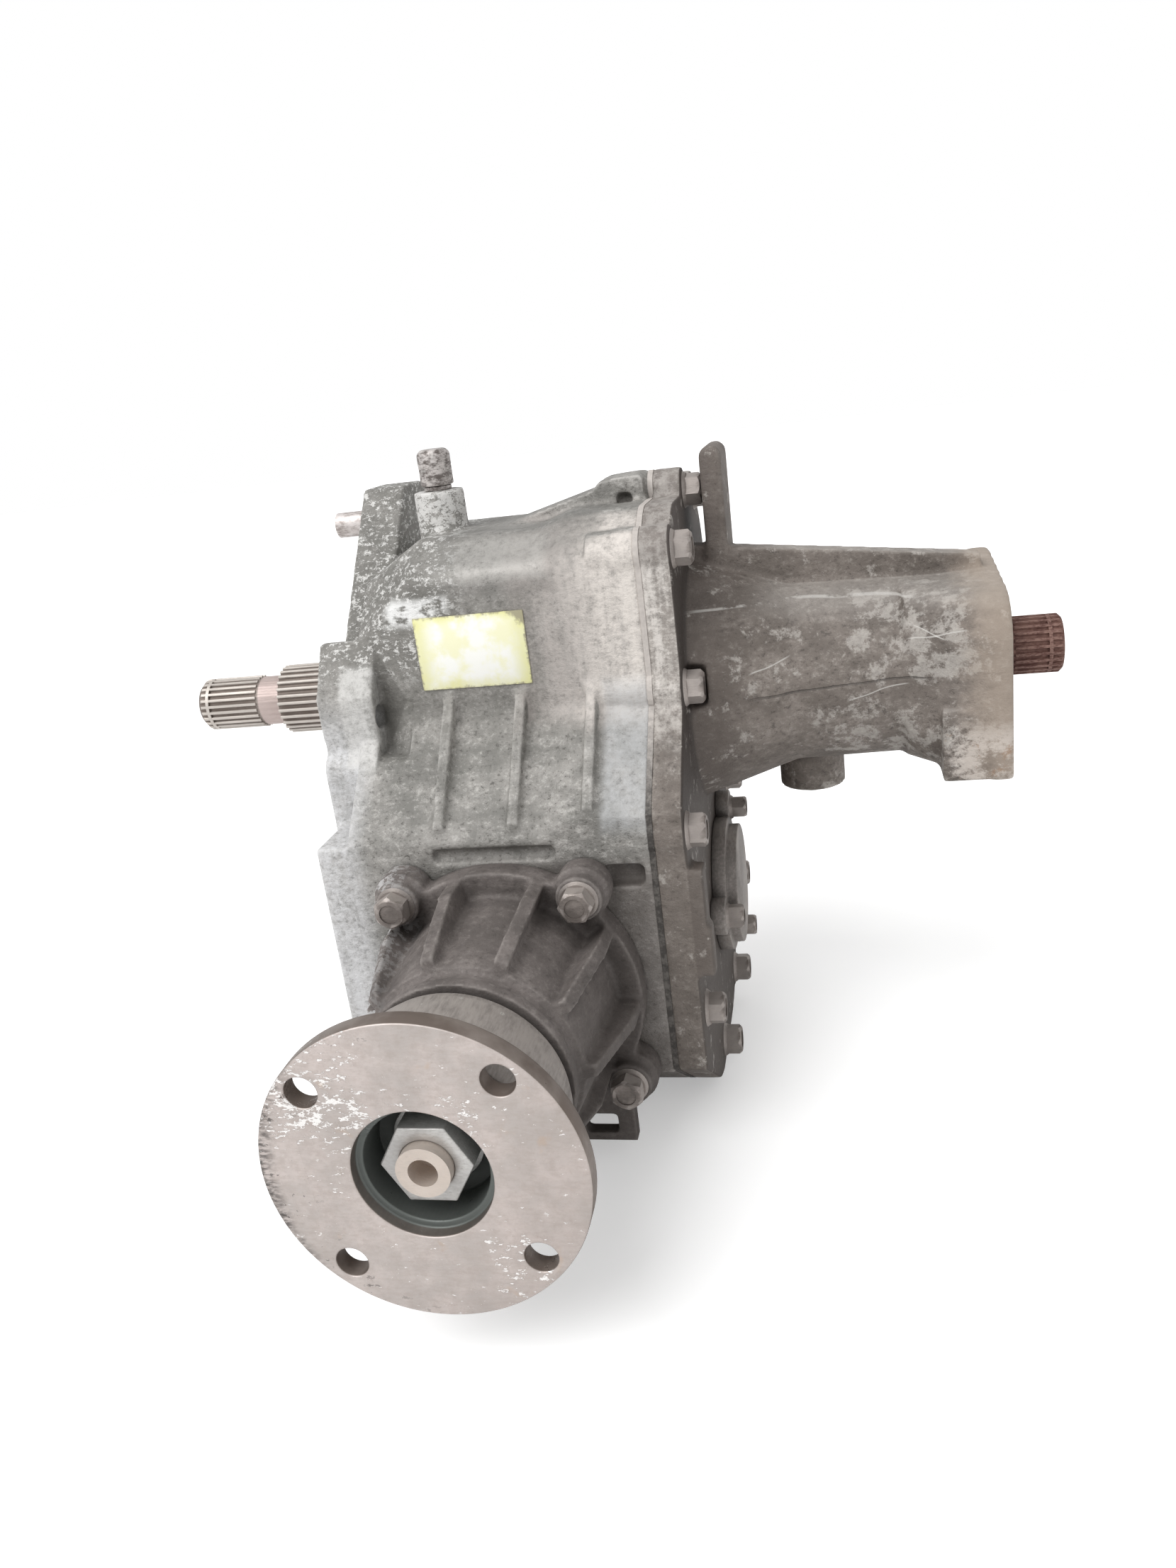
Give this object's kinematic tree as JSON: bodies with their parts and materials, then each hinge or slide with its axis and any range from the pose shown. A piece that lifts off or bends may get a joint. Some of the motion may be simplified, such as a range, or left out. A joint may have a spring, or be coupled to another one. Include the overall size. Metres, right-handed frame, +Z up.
{
  "type": "transfer case",
  "caption": "Transfer case that takes drive from the side of a transverse gearbox and turns it through a right angle to an output flange, with a long shaft running through to the wheel side.",
  "frame": {"origin": "on the input axis, in the plane of the face that bolts to the gearbox", "axes": "+X along the input and through shafts, away from the gearbox; +Z up as in the picture; -Y along the output axis, out of the companion flange"},
  "size_m": [0.424, 0.3261, 0.315],
  "materials": {
    "case_casting": "weathered sand-cast aluminium with grey-green and brown grime",
    "housing_casting": "smooth cast aluminium, dull grey-brown",
    "cover_casting": "cast aluminium, stained tan towards the tube end",
    "bolt_steel": "dull steel with a brown film",
    "flange_steel": "machined steel, light pinkish grey with streaks",
    "nut_steel": "bright machined steel",
    "shaft_steel": "ground steel, worn at the spline tips",
    "rusty_steel": "dark steel with red-brown rust",
    "gear_steel": "case-hardened gear steel with an oil film",
    "bearing_steel": "polished bearing steel",
    "bronze": "plain bearing bronze",
    "seal_rubber": "black oil-seal rubber",
    "gasket": "dark gasket compound",
    "damper": "dark dull iron",
    "plate": "thin plate, worn yellow-white, bare",
    "cap_steel": "plated steel, dull"
  },
  "bodies": {
    "case": {"main_case": "case_casting", "pinion_housing": "housing_casting", "side_cover": "cover_casting", "cover_gasket": "gasket", "housing_shim": "bearing_steel", "cover_bolts": "bolt_steel", "housing_bolts": "bolt_steel", "dowel_pins": "shaft_steel", "breather_tube": "cap_steel", "fill_plug": "bolt_steel", "drain_plug": "bolt_steel", "plug_washers": "bronze", "lower_bearing_cap": "damper", "cap_bolts": "bolt_steel", "label_plate": "plate", "input_bearing_outer_rings": "bearing_steel", "input_seal": "seal_rubber", "end_bearing_outer_ring": "bearing_steel", "end_seal": "seal_rubber", "lower_bearing_cups": "bearing_steel", "inner_pinion_bearing_cup": "bearing_steel", "outer_pinion_bearing_cup": "bearing_steel", "pinion_seal": "seal_rubber"},
    "input": {"input_shaft": "shaft_steel", "input_gear": "gear_steel", "input_bearing_inner_rings": "bearing_steel", "input_bearing_balls": "bearing_steel", "shaft_bushing": "bronze"},
    "through": {"through_shaft": "rusty_steel", "snap_rings": "bearing_steel", "bearing_circlip": "bearing_steel", "dust_ring": "seal_rubber", "end_bearing_inner_ring": "bearing_steel", "end_bearing_balls": "bearing_steel"},
    "ring_gear_assembly": {"ring_gear_shaft": "gear_steel", "ring_gear": "gear_steel", "ring_gear_bolts": "bolt_steel", "driven_gear": "gear_steel", "gear_spacer": "bearing_steel", "lower_bearing_cones": "bearing_steel", "lower_bearing_rollers": "bearing_steel"},
    "output": {"drive_pinion": "shaft_steel", "pinion_shim": "bearing_steel", "inner_pinion_bearing_cone": "bearing_steel", "inner_pinion_bearing_rollers": "bearing_steel", "preload_spacer": "bearing_steel", "outer_pinion_bearing_cone": "bearing_steel", "outer_pinion_bearing_rollers": "bearing_steel", "companion_flange": "flange_steel", "damper_ring": "damper", "flange_washer": "nut_steel", "flange_nut": "nut_steel"},
    "breather": {"breather_cap": "cap_steel"}
  },
  "joints": [
    {"name": "ring_gear_shaft_spin", "type": "hinge", "parent": "case", "child": "ring_gear_assembly", "pos_m": [0.09, 0, -0.113], "axis": [1, 0, 0], "continuous": true},
    {"name": "input_shaft_spin", "type": "hinge", "parent": "case", "child": "input", "pos_m": [0.09, 0, 0], "axis": [1, 0, 0], "continuous": true},
    {"name": "pinion_spin", "type": "hinge", "parent": "case", "child": "output", "pos_m": [0.085, -0.15, -0.113], "axis": [0, 1, 0], "continuous": true},
    {"name": "through_shaft_spin", "type": "hinge", "parent": "case", "child": "through", "pos_m": [0.12, 0, 0], "axis": [1, 0, 0], "continuous": true},
    {"name": "breather_cap_lift", "type": "slide", "parent": "case", "child": "breather", "axis": [0, 0, 1], "range_m": [0, 0.0015]}
  ],
  "couplings": [
    {"joint": "input_shaft_spin", "follows": "ring_gear_shaft_spin", "ratio": -1.4043},
    {"joint": "pinion_spin", "follows": "ring_gear_shaft_spin", "ratio": 3}
  ]
}
